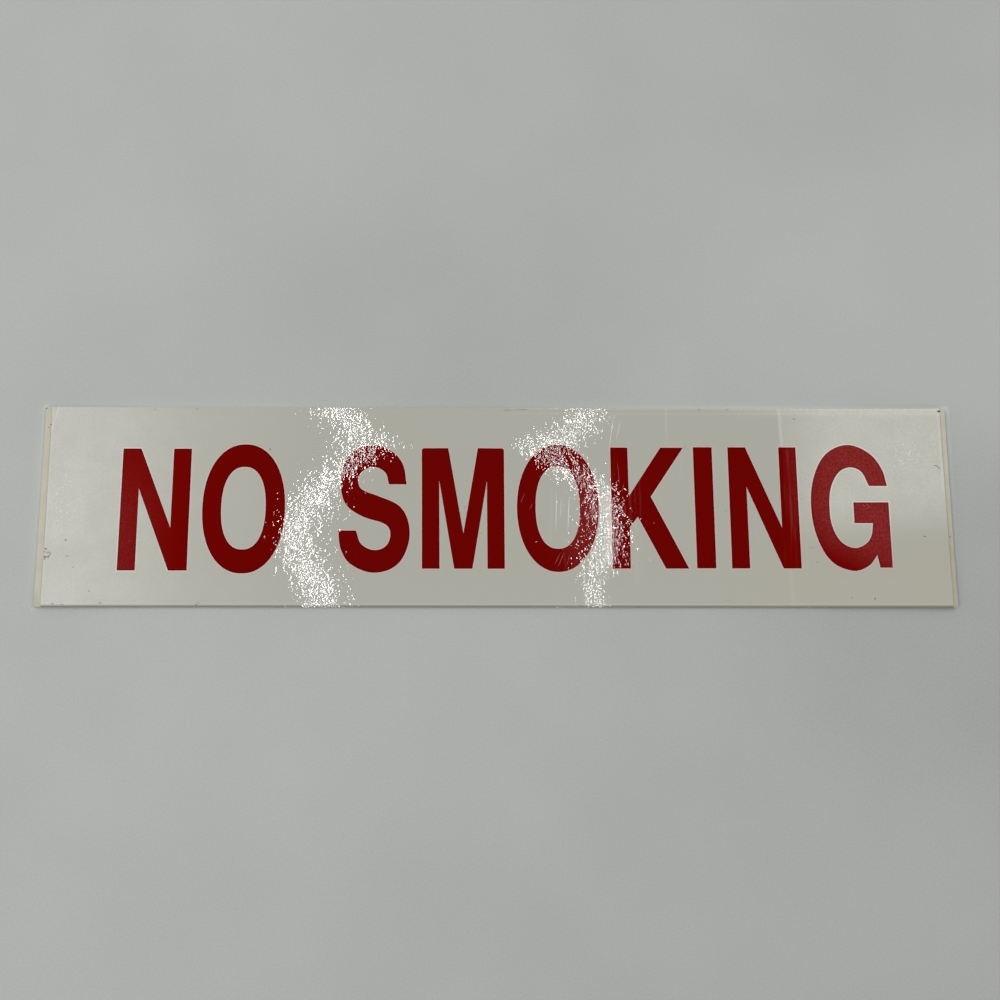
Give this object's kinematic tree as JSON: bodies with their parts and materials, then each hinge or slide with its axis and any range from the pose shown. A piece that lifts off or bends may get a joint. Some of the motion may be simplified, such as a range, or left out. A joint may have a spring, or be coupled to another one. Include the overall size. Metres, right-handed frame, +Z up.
{
  "type": "no smoking sign",
  "caption": "Flat self-adhesive strip sign: glossy white film with red capitals, lying on its cream release liner, to be peeled and stuck to a wall, door or post.",
  "frame": {"origin": "under the middle of the strip, on the surface that it lies on", "axes": "+X along the words from left to right, +Y towards the tops of the letters, +Z up, out of the printed face"},
  "size_m": [0.343, 0.0762, 0.0016],
  "materials": {
    "film": "glossy white vinyl, slightly yellowed, with a fine orange-peel surface",
    "liner": "cream silicone-coated backing paper, satin",
    "ink": "deep red screen-printed ink, glossy"
  },
  "bodies": {
    "root": {"face_film": "film", "release_liner": "liner"}
  },
  "joints": []
}
